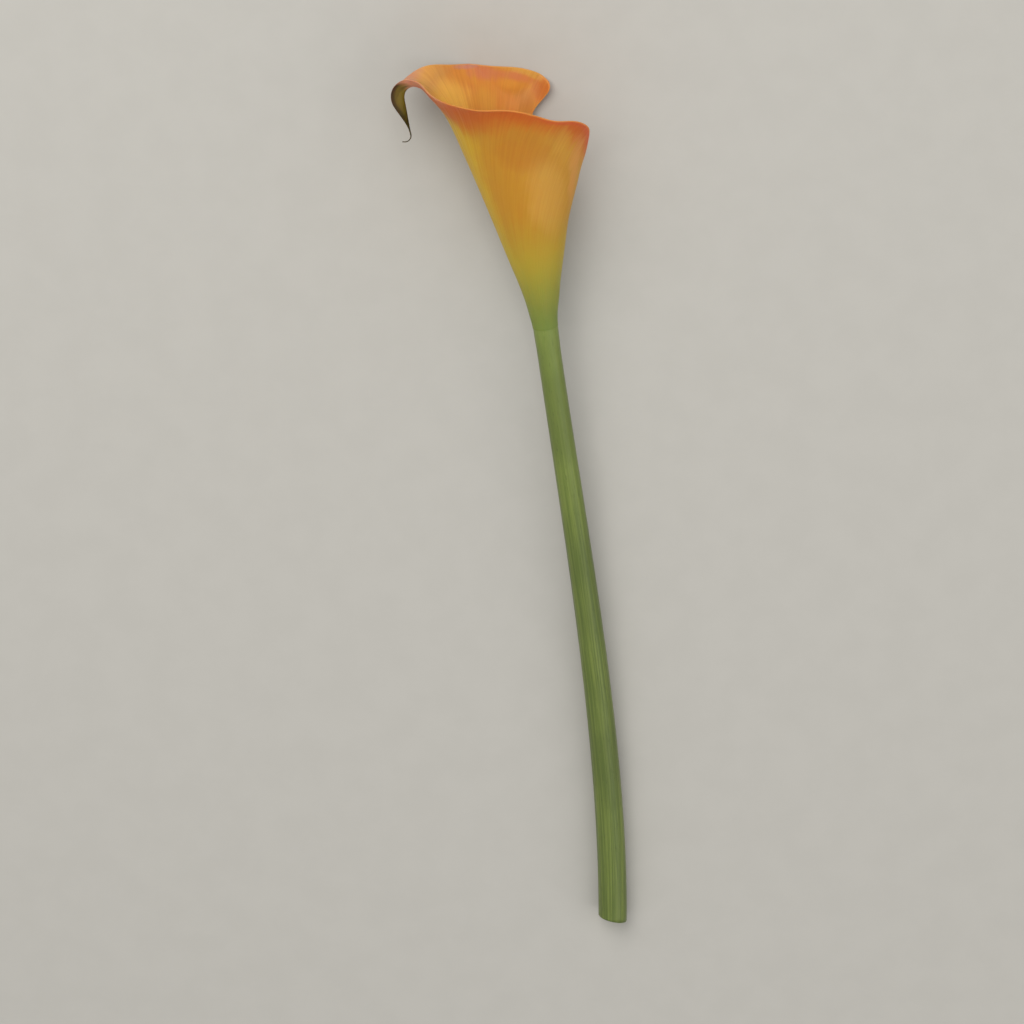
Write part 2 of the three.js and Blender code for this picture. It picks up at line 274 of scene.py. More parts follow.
def laid_down(points):
    """The upright head's points in the row's frame, in mm: turned by Rz(lean) Rx(pitch - 90), then moved."""
    return points @ UPRIGHT_TO_LYING.T + HEAD


def pressed(points, level):
    """Points whose height stays over a level: h above level + soft, level below level - soft, and
    level + (h - level + soft)^2 / (4 soft) between them."""
    over = points[..., 2] - level
    soft = level + (over + PRESS_SOFT) ** 2 / (4 * PRESS_SOFT)
    height = np.where(over > PRESS_SOFT, points[..., 2], np.where(over < -PRESS_SOFT, level, soft))
    return np.concatenate([points[..., :2], height[..., None]], -1)


print("the head's axis points to", np.round(UPRIGHT_TO_LYING[:, 2], 3))

# %% [markdown]
# ## The leaf's thickness, ribs and rounded margins
#
# A single sheet has no edge to catch the light. The leaf gets two faces, half its thickness to either side
# of its middle. It thins towards its margins, its base and its tip, and a midrib and fine ribs run up the
# outside. A half-round strip joins the two faces all the way round, so the piece is closed and its rim
# shines softly. The ribs don't follow the grid: they spread towards the margins as they climb, as a real
# leaf's veins do, and the same spreading lines later carry the streaks of colour.

# %% The thickness, the veins and the relief on the outside
HALF_WALL, HALF_RIM, RIM_THINS = 0.46, 0.26, (0, 16)
FOOT_WALL, FOOT_THICKENS = 0.35, (0, 7)     # share of the wall at the very base, and where it ends
TAIL_WALL, TAIL_THINS = 0.75, (135, 158)    # share of the wall at the tail's tip, and where it starts
MIDRIB_RISE, MIDRIB_WIDTH = 0.28, 2.6
MIDRIB_STARTS, MIDRIB_GAP = (2, 20), (0, 5)
RIB_RISE, RIBS = 0.045, 44
RIBS_START, RIBS_END, RIBS_GAP = (6, 22), (118, 128), (1, 9)
VEIN_ANGLE = 190                            # angle at the base of the outermost vein
VEIN_SPREAD = 118                           # length over which the veins' spacing doubles


def unit(vectors):
    """Each vector divided by its length."""
    return vectors / np.maximum(np.linalg.norm(vectors, axis=-1, keepdims=True), 1e-12)


def vein_of(angle, length):
    """The vein that a point lies on, from -1 to 1: angle / widest / (1 + (length / spread)^2)."""
    return angle / VEIN_ANGLE / (1 + (length / VEIN_SPREAD) ** 2)


def margin_gap(points):
    """Each point's distance in mm to the leaf's margins, measured along its row."""
    steps = np.linalg.norm(np.diff(points, axis=1), axis=-1)
    run = np.concatenate([np.zeros((len(points), 1)), np.cumsum(steps, axis=1)], axis=1)
    return np.minimum(run, run[:, -1:] - run)


def half_wall(angle, length, gap):
    """Half the thickness: thin at the rim, full inside it, feathered at the very base, thin in the tail."""
    wall = HALF_RIM + (HALF_WALL - HALF_RIM) * ramp(RIM_THINS, gap)
    foot = FOOT_WALL + (1 - FOOT_WALL) * ramp(FOOT_THICKENS, length)
    return wall * foot * (1 - (1 - TAIL_WALL) * ramp(TAIL_THINS, length))


def relief_of(upright, angle, length, gap):
    """The ribs and the midrib on the outside: rise x cos(2 pi ribs vein) + rise x exp(-(reach / width)^2),
    where reach is the way round to the midrib. Both fade in from the base and from the margins."""
    ribs = np.cos(2 * math.pi * RIBS * vein_of(angle, length)) * (1 - ramp(RIBS_END, length))
    ribs = ribs * ramp(RIBS_GAP, gap) * ramp(RIBS_START, length)
    reach = np.radians(angle) * np.hypot(upright[..., 0], upright[..., 1])
    midrib = np.exp(-(reach / MIDRIB_WIDTH) ** 2) * ramp(MIDRIB_STARTS, length) * ramp(MIDRIB_GAP, gap)
    return RIB_RISE * ribs + MIDRIB_RISE * midrib


print("vein at the near margin's base:", round(vein_of(OUTLINE[0, 0], 0), 3))

# %% [markdown]
# ## A mesh from arrays
#
# Each piece ends as one list of points and one list of faces. The helper below makes the mesh, keeps
# per-point numbers in it as named attributes, which the materials read, and ties the piece to the packed
# model: it rides on the row's one body and stands for its plain solid, which it hides.

# %% The helper that every piece goes through
def piece(name, node, points, faces, facts, material):
    """A smooth-shaded object in metres from points in mm, with its facts as attributes on its points."""
    mesh = bpy.data.meshes.new(name)
    mesh.from_pydata((points * MM).tolist(), [], faces)
    mesh.polygons.foreach_set("use_smooth", np.ones(len(mesh.polygons), bool))
    for fact, values in facts.items():
        kind, field = ("FLOAT_VECTOR", "vector") if values.ndim == 2 else ("FLOAT", "value")
        layer = mesh.attributes.new(fact, kind, "POINT")
        layer.data.foreach_set(field, values.astype(np.float32).ravel())
    mesh.materials.append(material)
    mesh.validate()
    thing = bpy.data.objects.new(name, mesh)
    bpy.context.scene.collection.objects.link(thing)
    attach(thing, "root")
    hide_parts(node)
    sizes = (points.max(0) - points.min(0)).round(1)
    print(name, "has", sum(len(f) - 2 for f in faces), "triangles and measures", sizes, "mm")
    return thing


def grid_faces(rows, columns, closed=False):
    """Four corners for each cell of a grid, whose rows are closed into rings if closed is true."""
    i, j = np.meshgrid(np.arange(columns if closed else columns - 1), np.arange(rows - 1))
    low, high = j * columns, (j + 1) * columns
    right = (i + 1) % columns
    return np.stack([low + i, low + right, high + right, high + i], -1).reshape(-1, 4)


# %% [markdown]
# ## Colours and patterns
#
# Materials are small trees of nodes. The helpers below keep them readable: each one adds a node and gives
# back its output, so that a material reads as a list of sentences. Colours are written as they look on a
# screen, and turned into the linear numbers that the shader adds up.

# %% Helpers that add nodes
def paint(code):
    """A screen colour such as '#d98536' as linear red, green, blue and 1."""
    screen = np.array([int(code[i:i + 2], 16) for i in (1, 3, 5)]) / 255
    linear = np.where(screen > 0.04045, ((screen + 0.055) / 1.055) ** 2.4, screen / 12.92)
    return (*linear.tolist(), 1.0)


class Recipe:
    """A material's tree of nodes, with one method for each kind of step."""

    def __init__(self, name, **shader):
        self.material = bpy.data.materials.new(name)
        self.material.use_nodes = True
        self.tree = self.material.node_tree
        self.shader = self.tree.nodes["Principled BSDF"]
        for socket, value in shader.items():
            self.shader.inputs[socket.replace("_", " ")].default_value = value

    def add(self, kind, inputs, **settings):
        """A node of a kind, with its settings, and its inputs linked or set by number."""
        node = self.tree.nodes.new(kind)
        for setting, value in settings.items():
            setattr(node, setting, value)
        for index, value in inputs.items():
            if isinstance(value, bpy.types.NodeSocket):
                self.tree.links.new(value, node.inputs[index])
            else:
                node.inputs[index].default_value = value
        return node

    def fact(self, name, output="Fac"):
        """A number, or with output "Vector" a vector, that the mesh keeps on its points."""
        return self.add("ShaderNodeAttribute", {}, attribute_name=name).outputs[output]

    def place(self):
        """Object coordinates, which for these pieces are the row's own metres."""
        return self.add("ShaderNodeTexCoord", {}).outputs["Object"]

    def math(self, operation, a, b=0.0):
        """One sum on two numbers, or on the first alone where the operation takes only one."""
        return self.add("ShaderNodeMath", {0: a, 1: b}, operation=operation).outputs[0]

    def times(self, a, b):
        """a times b, which for shares means where both hold."""
        return self.math("MULTIPLY", a, b)

    def pushed(self, value, noise, reach, middle=0.5):
        """value + (noise - middle) reach: a place or length that a noise pushes about."""
        return self.math("ADD", value, self.times(self.math("SUBTRACT", noise, middle), reach))

    def step(self, value, start, end, low=0.0, high=1.0):
        """low at start, high at end, with a smooth ramp between them. Either of the two may be the larger."""
        settings = {"interpolation_type": "SMOOTHSTEP"}
        inputs = {0: value, 1: start, 2: end, 3: low, 4: high}
        return self.add("ShaderNodeMapRange", inputs, **settings).outputs[0]

    def stretched(self, vector, scale):
        """A vector with its three parts multiplied."""
        return self.add("ShaderNodeMapping", {"Vector": vector, "Scale": scale}).outputs[0]

    def noise(self, vector, scale, detail=3.0, roughness=0.55):
        """Soft noise around 0.5, with about scale swells to each unit of the vector."""
        inputs = {"Vector": vector, "Scale": scale, "Detail": detail, "Roughness": roughness}
        return self.add("ShaderNodeTexNoise", inputs).outputs[0]

    def mix(self, share, a, b):
        """Colour a where share is 0 and colour b where it is 1."""
        return self.add("ShaderNodeMix", {0: share, 6: a, 7: b}, data_type="RGBA").outputs[2]

    def bump(self, height, distance, strength=1.0, normal=None):
        """A normal that leans as if a height of 1 stood distance metres up, on top of an earlier one."""
        inputs = {"Height": height, "Distance": distance, "Strength": strength}
        if normal is not None:
            inputs["Normal"] = normal
        return self.add("ShaderNodeBump", inputs).outputs[0]

    def finish(self, **sockets):
        """Links the last outputs to the shader's sockets, and gives back the material."""
        for socket, value in sockets.items():
            self.tree.links.new(value, self.shader.inputs[socket.replace("_", " ")])
        return self.material


print("petal orange in linear light:", [round(v, 3) for v in paint("#d98536")[:3]])

# %% [markdown]
# ## The spathe's finish
#
# Seen close, the spathe isn't one orange. Outside, a terracotta band lies under the rim, and below it the
# wall is golden ochre, with a yellow-green stripe up the midrib and a paler bloom on the flap. Inside, it is
# golden by the tail and deep orange at the far corner, with breaths of coral and mauve between. Each such
# breath is a soft patch here: an ellipse in the leaf's own angle and length, whose border a noise pushes
# about along the veins. A picture could hold the same colours, but patches stay sharp at any distance and
# follow the leaf when its outline is changed. The surface is waxy, so its gloss is soft, and light that
# enters it spreads a little before it leaves, as in all petals.

# %% Patches: angle, place past the rim in mm, reach round, reach along, share, colour
OUTER_PATCHES = [
    (40, -6, 26, 13, 0.6, "#c25a0a"),       # rust, where the lip turns towards the tail
    (92, -23, 32, 13, 0.5, "#b26f1e"),      # brown ochre in the middle of the wall
    (118, -44, 34, 22, 0.6, "#cd9d44"),     # pale gold, low on the flap
    (134, -14, 13, 11, 0.55, "#cd9836"),    # gold in the flap's shoulder
    (153, -20, 11, 20, 0.5, "#d69650"),     # peach beside the flap's edge
]
INNER_PATCHES = [
    (-15, 1, 30, 11, 0.9, "#d29c52"),       # dull gold by the tail
    # The next patch is partly the inner face's own gold and partly painted light: it is brighter than that
    # gold, as if more light fell on the wall there.
    (-21, -14, 32, 13, 0.9, "#efb852"),     # bright gold down the near side
    (-61, -16, 13, 8, 0.5, "#d89f3c"),      # a golden streak in the middle
    (-68, -3, 18, 5, 0.75, "#cd7854"),      # coral in the middle of the back
    (-57, 0.5, 17, 2.4, 0.75, "#bf8474"),   # mauve on the rim there
    (-93, -3, 15, 3.4, 0.65, "#d07650"),    # coral towards the far corner
    (-88, -7.5, 14, 3, 0.6, "#dc9638"),     # orange under it
    (-104, 0, 22, 2.4, 0.6, "#dba84e"),     # yellow on the rim
    (-118, -5, 15, 9, 0.65, "#b56228"),     # deep orange in the far corner
    # The next patch is partly the inner face's ochre and partly painted shade: it darkens the wall low on the
    # far side, deep in the funnel.
    (-100, -16, 15, 11, 0.6, "#b5782a"),    # ochre under it, deeper in
]


# %% Where the other colours come in: angles, lengths up the leaf, past its rim and from its margin
GOLDEN, THROAT = (12, 62), (30, 100)        # up the outside and up the inside
BAND = (-17, -2)                            # the terracotta, past the rim
STRIPE_ANGLES, STRIPE_PAST = (58, 28), (-9, -20)
FLAP_ANGLES, FLAP_LENGTHS, FLAP_EDGE = (96, 128), (72, 90), (4.4, 0.8)
STREAKS_START = (10, 50)
PALE_RIM_AND_HIGHLIGHT = (0.7, 0.1)
ROOT_PAST, ROOT_ANGLES, ROOT_TILT = (0.5, 4.5), (45, 20), 0.12
TAIL_PAST, TAIL_INSIDE = (3.8, 7.2), 4.5    # where olive starts outside, and how much later it does inside
TAIL_MARGIN, TAIL_DARKENS = (0.3, 2.2), (130, 146)
FOOT_YELLOW, FOOT_GREEN = (66, 24), (40, 0)
BLUSH_ANGLES, BLUSH_EDGE, BLUSH_STARTS, BLUSH_ENDS = (100, 140), (3.2, 0.6), (14, 26), (62, 44)
PUSHED_ROUND, PUSHED_ALONG = 26, 9          # how far noise pushes borders: in degrees, and in mm outside
PUSHED_NEAR, PUSHED_TAIL, PUSHED_FOOT = 5, 7, 18    # mm inside, at the tail and at the foot


# %% The spathe's material
def patch(r, across, along, centre, reach):
    """1 at a centre, and 0 outside the ellipse (across / reach)^2 + (along / reach)^2 = 1 round it."""
    u = r.math("DIVIDE", r.math("SUBTRACT", across, centre[0]), reach[0])
    v = r.math("DIVIDE", r.math("SUBTRACT", along, centre[1]), reach[1])
    return r.step(r.math("ADD", r.times(u, u), r.times(v, v)), 0.05, 1.1, 1.0, 0.0)


def patched(r, colour, across, along, patches):
    """A colour with each patch of a list laid over it in turn."""
    for at, past, round_by, along_by, share, code in patches:
        here = patch(r, across, along, (at, past), (round_by, along_by))
        colour = r.mix(r.times(here, share), colour, paint(code))
    return colour


def leaf_places(r):
    """Where on the leaf a point is, and its noises: streaks and fine ones along the veins, clouds and wide
    ones in space. They push its angle about to give across, and its place past the rim to give along for the
    outside and near for the inside."""
    p = SimpleNamespace(angle=r.fact("angle"), length=r.fact("length"), gap=r.fact("gap"),
                        inside=r.fact("inside"), past_rim=r.fact("past_rim"))
    veins = r.fact("grain", "Vector")
    p.streaks = r.noise(veins, 1.0, 4.0, 0.62)
    p.fine = r.noise(r.stretched(veins, (3.2, 1.0, 1.0)), 1.0, 3.0, 0.6)
    p.clouds = r.noise(r.place(), 60.0, 3.0, 0.5)
    p.wide = r.noise(r.place(), 18.0, 2.0, 0.5)
    both = r.math("ADD", p.streaks, p.clouds)
    p.across = r.pushed(p.angle, both, PUSHED_ROUND, 1.0)
    p.along = r.pushed(p.past_rim, both, PUSHED_ALONG, 1.0)
    p.near = r.pushed(p.past_rim, p.clouds, PUSHED_NEAR)
    return p


def outside_colour(r, p):
    """Golden ochre that starts greener, the band, the patches, the midrib's stripe and the flap's edge."""
    colour = r.mix(r.step(p.length, *GOLDEN), paint("#b39a2e"), paint("#bd8826"))
    colour = r.mix(r.step(p.wide, 0.4, 0.65, 0.0, 0.6), colour, paint("#c8953a"))
    colour = r.mix(r.step(p.along, *BAND, 0.0, 0.95), colour, paint("#c05f17"))
    colour = patched(r, colour, p.across, p.along, OUTER_PATCHES)
    stripe = r.times(r.step(r.math("ABSOLUTE", p.across), *STRIPE_ANGLES), r.step(p.along, *STRIPE_PAST))
    colour = r.mix(r.times(stripe, 0.85), colour, paint("#cda826"))
    flap = r.times(r.step(r.math("ABSOLUTE", p.angle), *FLAP_ANGLES), r.step(p.length, *FLAP_LENGTHS))
    edge = r.times(r.step(p.gap, *FLAP_EDGE), flap)
    return r.mix(r.times(edge, 0.85), colour, paint("#c4582a"))


def inside_colour(r, p):
    """Yellow deep in the throat and orange above, with soft clouds, golden streaks and the patches."""
    colour = r.mix(r.step(p.length, *THROAT), paint("#cfa032"), paint("#d28a36"))
    colour = r.mix(r.step(p.clouds, 0.42, 0.66, 0.0, 0.45), colour, paint("#cc7d38"))
    colour = r.mix(r.step(p.streaks, 0.5, 0.75, 0.0, 0.4), colour, paint("#dba340"))
    return patched(r, colour, p.across, p.near, INNER_PATCHES)


def with_rim_and_tail(r, p, colour):
    """The pale line along the rim, partly the margin's own colour and partly a painted highlight, the pink
    root of the tail, and the olive tail with its dark margins.
    """
    # Partly painted highlight: a pale line within 0.7 mm of the margin, where the rim catches the light.
    colour = r.mix(r.step(p.gap, *PALE_RIM_AND_HIGHLIGHT, 0.0, 0.45), colour, paint("#d6984e"))
    root = r.step(r.math("ADD", p.near, r.times(p.angle, ROOT_TILT)), *ROOT_PAST)
    root = r.times(root, r.step(r.math("ABSOLUTE", p.angle), *ROOT_ANGLES, 0.0, 0.85))
    colour = r.mix(root, colour, paint("#c1886a"))
    olive = r.mix(r.step(p.gap, *TAIL_MARGIN), paint("#3c2408"), paint("#78651f"))
    olive = r.mix(r.step(p.length, *TAIL_DARKENS), olive, paint("#36330f"))
    olive = r.mix(r.step(p.fine, 0.4, 0.65, 0.0, 0.55), olive, paint("#3f3010"))
    turned = r.math("SUBTRACT", p.near, r.times(p.inside, TAIL_INSIDE))
    return r.mix(r.step(r.pushed(turned, p.fine, PUSHED_TAIL), *TAIL_PAST), colour, olive)


def with_foot(r, p, colour):
    """The green foot, yellow-green above it, and a pink-red blush low on the near margin."""
    foot = r.pushed(p.length, p.fine, PUSHED_FOOT)
    colour = r.mix(r.step(foot, *FOOT_YELLOW, 0.0, 0.5), colour, paint("#a59a30"))
    colour = r.mix(r.step(foot, *FOOT_GREEN), colour, paint("#75833a"))
    blush = r.times(r.step(p.gap, *BLUSH_EDGE), r.step(p.angle, *BLUSH_ANGLES))
    blush = r.times(blush, r.times(r.step(foot, *BLUSH_STARTS), r.step(foot, *BLUSH_ENDS)))
    return r.mix(r.times(blush, 0.65), colour, paint("#ad4a3a"))


def spathe_finish():
    """Colours by angle, length, gap to the margin and side of the leaf, broken up along the veins."""
    r = Recipe("spathe_finish", Subsurface_Weight=0.55, Subsurface_Scale=0.002, IOR=1.42,
               Specular_IOR_Level=0.3)
    r.shader.inputs["Subsurface Radius"].default_value = (1.0, 0.45, 0.15)
    p = leaf_places(r)
    colour = r.mix(p.inside, outside_colour(r, p), inside_colour(r, p))
    darker = r.mix(r.step(p.fine, 0.38, 0.7, 0.0, 0.16), colour, paint("#a04a1e"))
    colour = r.mix(r.step(p.length, *STREAKS_START), colour, darker)
    colour = with_foot(r, p, with_rim_and_tail(r, p, colour))
    rough = r.step(p.fine, 0.3, 0.7, 0.4, 0.54)
    relief = r.bump(p.streaks, 0.0002, 0.5)
    relief = r.bump(p.fine, 0.0001, 0.5, relief)
    return r.finish(Base_Color=colour, Roughness=rough, Normal=relief)


# %% [markdown]
# ## The spathe
#
# Now the parts come together: a fine grid over the leaf, its two faces, the strip round it, and the facts
# that the finish reads. The strip bulges away from the leaf: that way is square both to the margin's own
# run, found from each margin point's two neighbours, and to the leaf.

# %% Building the spathe
LEAF_COLUMNS, LEAF_ROWS, STRIP = 141, 291, 5
GRAIN = (60, 0.028, 3)                      # the streaks' scale over the veins, along them, and inside out


def edge_loop(rows, columns):
    """The row and column of every point on the grid's border, anticlockwise."""
    right = [(0, i) for i in range(columns - 1)]
    up = [(j, columns - 1) for j in range(rows - 1)]
    left = [(rows - 1, i) for i in range(columns - 1, 0, -1)]
    down = [(j, 0) for j in range(rows - 1, 0, -1)]
    return np.array(right + up + left + down)


def build_spathe():
    """The outer face, the inner face, and between them STRIP half-round steps round the border:
    point + half (cos t out + sin t away), with t from 0 to 180 degrees."""
    across, along = np.meshgrid(np.linspace(-1, 1, LEAF_COLUMNS), np.linspace(0, 1, LEAF_ROWS))
    upright, angle, length, rim = leaf(across, along)
    gap = margin_gap(upright)
    half = half_wall(angle, length, gap)
    middle = pressed(laid_down(upright), half)
    out = unit(np.cross(np.gradient(middle, axis=1), np.gradient(middle, axis=0)))

    rise = relief_of(upright, angle, length, gap)
    outer = middle + out * (half + rise)[..., None]
    inner = middle - out * half[..., None]
    outer[..., 2] = np.maximum(outer[..., 2], 0)
    inner[..., 2] = np.maximum(inner[..., 2], 0)

    loop = edge_loop(LEAF_ROWS, LEAF_COLUMNS)
    at = tuple(loop.T)
    run = unit(np.roll(middle[at], -1, 0) - np.roll(middle[at], 1, 0))
    away = unit(np.cross(run, out[at]))
    strip = []
    for step in range(1, STRIP):
        t = math.pi * step / STRIP
        bead = middle[at] + half[at][:, None] * (math.cos(t) * out[at] + math.sin(t) * away)
        bead[:, 2] = np.maximum(bead[:, 2], 0)
        strip.append(bead)

    count, border = middle.size // 3, len(loop)
    flat = loop[:, 0] * LEAF_COLUMNS + loop[:, 1]
    rings = [flat] + [2 * count + border * k + np.arange(border) for k in range(STRIP - 1)] + [flat + count]
    cells = grid_faces(LEAF_ROWS, LEAF_COLUMNS)
    faces = [cells, cells[:, ::-1] + count]
    for first, second in zip(rings, rings[1:]):
        faces.append(np.stack([first, second, np.roll(second, -1), np.roll(first, -1)], -1))
    faces = np.concatenate(faces)
    points = np.concatenate([outer.reshape(-1, 3), inner.reshape(-1, 3), *strip])

    def everywhere(values):
        return np.concatenate([values.ravel(), values.ravel(), np.tile(values[at], STRIP - 1)])

    inside = np.repeat(np.arange(1, STRIP) / STRIP, border)
    inside = np.concatenate([np.zeros(count), np.ones(count), inside])
    vein = everywhere(vein_of(angle, length))
    lengths = everywhere(length)
    facts = {
        "angle": everywhere(angle), "length": lengths, "gap": everywhere(gap),
        "past_rim": everywhere(length - rim), "inside": inside,
        "grain": np.stack([vein, lengths, inside], -1) * GRAIN,
    }
    return piece("spathe_leaf", "spathe", points, faces.tolist(), facts, spathe_finish())


build_spathe()

# %% [markdown]
# ## The spadix
#
# The spadix is a fleshy rod packed with tiny flowers. The upper ones are pollen sacs, small, tight and
# yellow. The lower ones are seed pots, rounder and greener, each with a small button on top. They stand in
# the spirals that most packed plant parts have: each next one is 137.5 degrees further round, and all have
# the same room. A dome is made once, and copies of it are set on a smooth core.

# %% The rod's outline, and places for the small flowers
SPADIX_FOOT, SPADIX_LENGTH, SPADIX_RADIUS = 4.3, 46.0, 3.35
SPADIX_TAPER = 0.16                         # share of the radius lost on the way up
SPADIX_DRAWN, DRAWN_PART = 0.18, (0, 0.12)  # share of it that the foot is drawn in, and how far up that goes
SPADIX_DOME = 0.84                          # share of the length where the rounded top starts
FLORETS, GOLDEN_ANGLE = 470, math.radians(137.508)
SEED_POTS = (9, 13)                         # heights over which seed pots give way to pollen sacs
FLORET_WIDE, FLORET_DEEP = (0.86, 0.76), (0.62, 0.5)    # of a seed pot, and of a pollen sac
WIDE_SPREAD, DEEP_SPREAD = (0.92, 1.06), (0.85, 1.1)    # shares of those that single florets reach
FLORET_OUT = 0.25                           # share of its depth by which a floret's middle stands out


def rod_radius(height):
    """The core's radius: a slim taper, drawn in at its foot, under a quarter ellipse at its top."""
    part = height / SPADIX_LENGTH
    top = np.clip((part - SPADIX_DOME) / (1 - SPADIX_DOME), 0, 1)
    drawn = 1 - SPADIX_DRAWN * (1 - ramp(DRAWN_PART, part))
    return SPADIX_RADIUS * np.sqrt(1 - top**2) * (1 - SPADIX_TAPER * part) * drawn


def floret_places():
    """Heights and turns of the florets: number k stands where the rod's area up to it is k shares."""
    height = np.linspace(0, SPADIX_LENGTH, 2000)
    radius = rod_radius(height)
    area = np.concatenate([[0], np.cumsum(np.hypot(np.diff(height), np.diff(radius)) * radius[1:])])
    shares = (np.arange(FLORETS) + 0.5) / FLORETS * area[-1]
    return np.interp(shares, area, height), np.arange(FLORETS) * GOLDEN_ANGLE


# %% The spadix's material
GREEN_ENDS, DUST_STARTS = (6, 18), (10, 18)     # heights


def spadix_finish():
    """Yellow-orange, greener at its foot, with painted shade where the domes meet the core, so that their
    tops look paler, and a dust of pollen.
    """
    r = Recipe("spadix_finish", Subsurface_Weight=0.2, Subsurface_Scale=0.001, Sheen_Weight=0.3)
    r.shader.inputs["Subsurface Radius"].default_value = (1.0, 0.6, 0.2)
    grains = r.noise(r.place(), 2600.0, 2.0, 0.6)
    clouds = r.noise(r.place(), 160.0, 2.0)
    colour = r.mix(r.step(r.fact("height"), *GREEN_ENDS), paint("#c2b044"), paint("#ecaa24"))
    colour = r.mix(r.step(clouds, 0.4, 0.65, 0.0, 0.6), colour, paint("#f2bd3a"))
    # Painted shade: dark orange at each dome's foot and on the bare core between the domes, where the florets
    # crowd.
    colour = r.mix(r.step(r.fact("rise"), 0.1, 0.95, 0.5, 0.0), colour, paint("#b8651c"))
    dust = r.times(r.step(grains, 0.5, 0.62), r.step(r.fact("height"), *DUST_STARTS))
    colour = r.mix(r.times(dust, 0.6), colour, paint("#f4d36a"))
    relief = r.bump(grains, 0.00006, 0.6)
    rough = r.step(grains, 0.3, 0.7, 0.55, 0.8)
    return r.finish(Base_Color=colour, Roughness=rough, Normal=relief)


# %% Building the spadix
CORE_ROUND, CORE_ROWS = 48, 90
DOME_ROUND, DOME_RINGS = 8, 3
NUDGE = 0.05                                # step up the rod over which its lean is measured


def closed_tube(rows, columns):
    """The faces of a tube of rings, with a fan at each end: its two end points come after the rings."""
    faces = grid_faces(rows, columns, closed=True).tolist()
    foot, top, low = rows * columns, rows * columns + 1, (rows - 1) * columns
    faces += [[(i + 1) % columns, i, foot] for i in range(columns)]
    return faces + [[low + i, low + (i + 1) % columns, top] for i in range(columns)]


def dome():
    """A closed bead of radius 1 and its faces: rings of (sin t cos p, sin t sin p, -cos t), foot and top."""
    t = np.pi * np.arange(1, DOME_RINGS + 1)[:, None] / (DOME_RINGS + 1)
    p = 2 * np.pi * np.arange(DOME_ROUND) / DOME_ROUND
    rings = np.stack(np.broadcast_arrays(np.sin(t) * np.cos(p), np.sin(t) * np.sin(p), -np.cos(t)), -1)
    points = np.concatenate([rings.reshape(-1, 3), [[0, 0, -1], [0, 0, 1]]])
    return points, closed_tube(DOME_RINGS, DOME_ROUND)


def rod():
    """The core's points and faces: (r cos p, r sin p, height), with rows that crowd towards its tip."""
    tip = np.sin(np.linspace(0, np.pi / 2, CORE_ROWS // 2))[:-1]
    part = np.concatenate([np.linspace(0, SPADIX_DOME, CORE_ROWS // 2, endpoint=False),
                           1 - (1 - SPADIX_DOME) * (1 - tip)])
    height = SPADIX_LENGTH * part[:, None]
    turn = 2 * np.pi * np.arange(CORE_ROUND) / CORE_ROUND
    radius = rod_radius(height)
    rings = np.stack(np.broadcast_arrays(radius * np.cos(turn), radius * np.sin(turn), height), -1)
    points = np.concatenate([rings.reshape(-1, 3), [[0, 0, 0], [0, 0, SPADIX_LENGTH]]])
    return points, closed_tube(len(part), CORE_ROUND)


def florets(bead):
    """A bead's points at every place: foot + x wide around + y wide up + (z + stand) deep out, where
    around, up and out are a floret's own directions, with out square to the rod's slope."""
    at, spin = floret_places()
    reach = rod_radius(at)
    lean = np.arctan2(reach - rod_radius(np.minimum(at + NUDGE, SPADIX_LENGTH)), NUDGE)
    out = np.stack([np.cos(lean) * np.cos(spin), np.cos(lean) * np.sin(spin), np.sin(lean)], -1)
    around = np.stack([-np.sin(spin), np.cos(spin), np.zeros_like(spin)], -1)
    up = np.cross(out, around)
    foot = np.stack([reach * np.cos(spin), reach * np.sin(spin), at], -1)
    draw = np.random.default_rng(11)
    kind = ramp(SEED_POTS, at)
    wide = (FLORET_WIDE[0] + (FLORET_WIDE[1] - FLORET_WIDE[0]) * kind) * draw.uniform(*WIDE_SPREAD, FLORETS)
    deep = (FLORET_DEEP[0] + (FLORET_DEEP[1] - FLORET_DEEP[0]) * kind) * draw.uniform(*DEEP_SPREAD, FLORETS)
    x, y, z = bead[:, :1], bead[:, 1:2], bead[:, 2:]
    wide, deep = wide[:, None, None], deep[:, None, None]
    flat = foot[:, None] + around[:, None] * (x * wide) + up[:, None] * (y * wide)
    return flat + out[:, None] * ((z + FLORET_OUT) * deep)


def build_spadix():
    """The core with a bead at each floret's place. A bead's height from foot to top is the fact rise."""
    core, core_faces = rod()
    bead, bead_faces = dome()
    starts = len(core) + len(bead) * np.arange(FLORETS)
    faces = core_faces + [[start + v for v in face] for start in starts.tolist() for face in bead_faces]
    upright = np.concatenate([core, florets(bead).reshape(-1, 3)])
    rise = np.concatenate([np.zeros(len(core)), np.tile(np.clip(bead[:, 2], 0, 1), FLORETS)])
    facts = {"height": upright[:, 2], "rise": rise}
    points = laid_down(upright + [0, 0, SPADIX_FOOT])
    return piece("spadix_rod", "spadix", points, faces, facts, spadix_finish())


build_spadix()

# %% [markdown]
# ## The stem
#
# The stem is a smooth fleshy stalk. It leaves the head along the head's axis and comes down in one long
# curve to its cut end, which rests on the surface. A circle carried along that curve makes the tube. It is
# slimmest just under the head and thickest at the cut. The cut is slanted, as a knife leaves it, and its
# face is pale spongy flesh with the dots of the sap tubes.

# %% The stem's line and its radius
STEM_LENGTH, STEM_DRIFT, STEM_BEND = 282, 31, (80, 90)
STEM_TOP, STEM_NECK, STEM_CUT = 5.5, 5.25, 6.47     # radii, of which the last is also the cut's height
NECK_PART, SPREAD_PART = (0, 0.06), (0.05, 1)
STEM_PEG, PEG_ROUND, PEG_DRAWN, CUT_SLANT = 4.0, 0.5, 0.1, 0.22
STEM_FLUTES = [(0.006, 5, 0), (0.004, 9, 1)]        # share of the radius, flutes to the turn, and start
STEM_COLUMNS, STEM_ROWS, PEG_ROWS, CUT_RINGS = 72, 200, 8, 9


